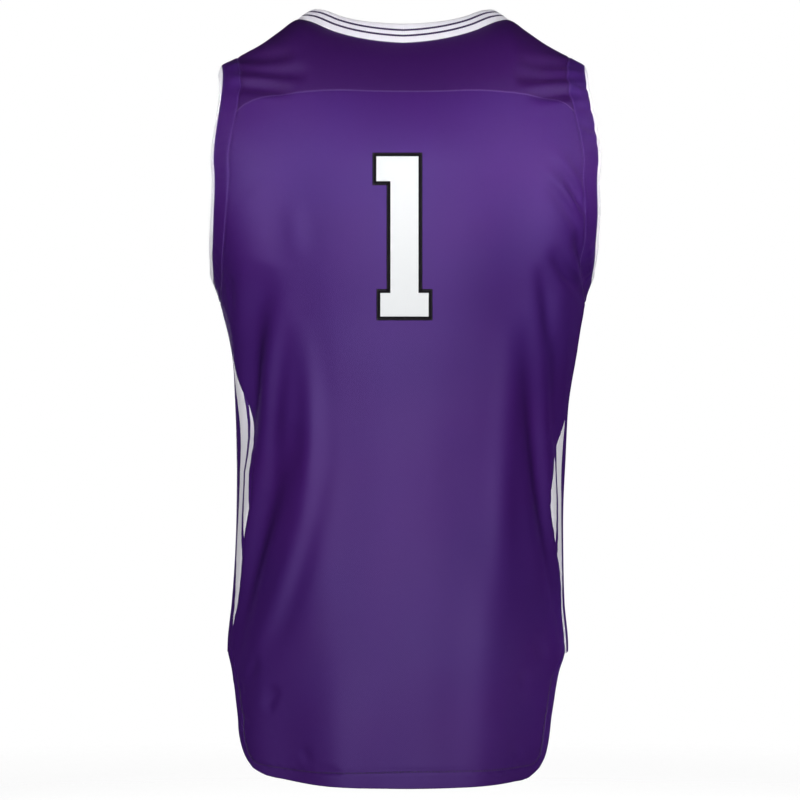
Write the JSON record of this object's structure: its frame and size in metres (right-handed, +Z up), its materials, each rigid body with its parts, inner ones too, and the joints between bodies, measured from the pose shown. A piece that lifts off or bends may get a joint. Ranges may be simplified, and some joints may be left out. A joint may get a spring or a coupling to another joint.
{
  "type": "basketball jersey",
  "caption": "Sleeveless basketball jersey in its worn, hollow shape, with yoke, side panels, ribbed neckband and armholes, drop tail and a plain number on the back.",
  "frame": {"origin": "midway between the two high shoulder points, where the shoulder seams meet the neckband and the wearer's shoulders hold the jersey", "axes": "+Z up, -Y towards the front, +X towards the wearer's left"},
  "size_m": [0.3882, 0.2518, 0.7647],
  "materials": {
    "purple_knit": "satin polyester knit",
    "purple_yoke_knit": "satin polyester knit, a shade darker",
    "white_rib": "matt rib knit with two thin purple lines",
    "black_twill": "matt twill",
    "white_twill": "matt twill"
  },
  "bodies": {
    "root": {"back_panel": "purple_knit", "front_panel": "purple_knit", "back_yoke": "purple_yoke_knit", "side_panel_left": "purple_knit", "side_panel_right": "purple_knit", "armhole_band_left": "purple_knit", "armhole_band_right": "purple_knit", "armhole_rib_left": "white_rib", "armhole_rib_right": "white_rib", "neckband": "white_rib", "number_border": "black_twill", "number_face": "white_twill"}
  },
  "joints": []
}
